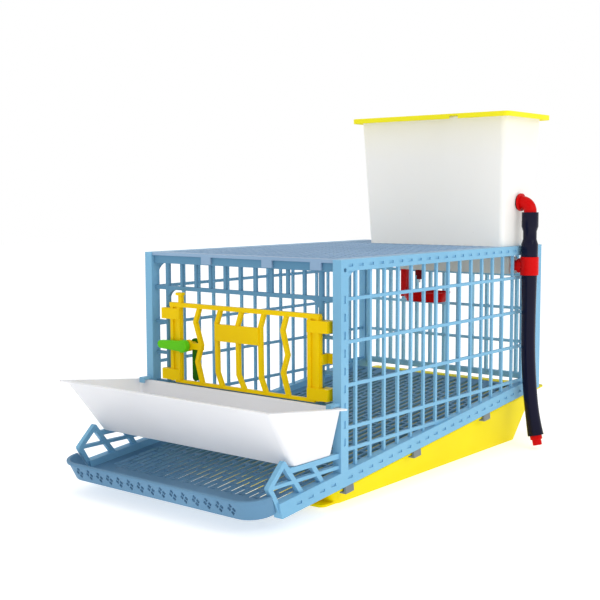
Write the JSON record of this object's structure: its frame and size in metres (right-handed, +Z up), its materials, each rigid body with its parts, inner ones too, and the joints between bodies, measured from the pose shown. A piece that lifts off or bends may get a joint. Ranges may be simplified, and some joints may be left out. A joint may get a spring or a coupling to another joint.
{
  "type": "quail cage",
  "caption": "Moulded plastic grille cage for quail, with an egg ledge, swinging door, feeder, dropping tray and a water tank on top.",
  "frame": {"origin": "on the ground under the middle of the whole object, measured without the free hose and its plug", "axes": "+Z up, -Y towards the door and the feeder, +X towards the water hose"},
  "size_m": [0.3727, 0.6702, 0.4748],
  "materials": {
    "panel_blue": "satin",
    "front_blue": "satin",
    "back_blue": "satin",
    "top_blue": "satin",
    "floor_blue": "satin",
    "door_yellow": "semi-gloss",
    "latch_green": "semi-gloss",
    "latch_dark_green": "satin",
    "feeder_white": "satin",
    "tray_yellow": "semi-gloss",
    "clip_grey": "satin",
    "tank_white": "translucent",
    "lid_yellow": "semi-gloss",
    "fitting_red": "semi-gloss",
    "seal_black": "matte",
    "hose_navy": "glossy",
    "pipe_beige": "satin",
    "nipple_red": "semi-gloss",
    "pin_steel": "satin",
    "cup_red": "semi-gloss"
  },
  "bodies": {
    "cage": {"left_side_panel": "panel_blue", "right_side_panel": "panel_blue", "front_panel": "front_blue", "back_panel": "back_blue", "top_panel": "top_blue", "floor_panel": "floor_blue", "feeder": "feeder_white", "tray_clips": "clip_grey", "water_tank": "tank_white", "tank_elbow": "fitting_red", "elbow_seal": "seal_black", "elbow_nut": "fitting_red", "upper_hose": "hose_navy", "water_tee": "fitting_red", "lower_hose": "hose_navy", "hose_plug": "fitting_red", "drinker_pipe": "pipe_beige", "pipe_end_cap": "pipe_beige", "pipe_socket": "pipe_beige", "drinker_nipple": "nipple_red", "drinker_cup": "cup_red"},
    "door": {"door": "door_yellow"},
    "latch": {"latch_grip": "latch_green", "latch_spindle": "door_yellow", "latch_tongue": "latch_dark_green"},
    "dropping_tray": {"dropping_tray": "tray_yellow"},
    "tank_lid": {"tank_lid": "lid_yellow"},
    "nipple_pin": {"nipple_pin": "pin_steel"}
  },
  "joints": [
    {"name": "door_swing", "type": "hinge", "parent": "cage", "child": "door", "pos_m": [0.11825, -0.17393, 0.15], "axis": [0, 0, 1], "range_deg": [0, 26]},
    {"name": "latch_turn", "type": "hinge", "parent": "door", "child": "latch", "pos_m": [-0.0915, -0.18243, 0.171], "axis": [0, 1, 0], "range_deg": [0, 90]},
    {"name": "tray_slide", "type": "slide", "parent": "cage", "child": "dropping_tray", "axis": [0, 0.9948, 0.1015], "range_m": [0, 0.45]},
    {"name": "lid_lift", "type": "slide", "parent": "cage", "child": "tank_lid", "axis": [0, 0, 1], "range_m": [0, 0.06]},
    {"name": "nipple_press", "type": "slide", "parent": "cage", "child": "nipple_pin", "axis": [0, 0, 1], "range_m": [0, 0.0015]}
  ]
}
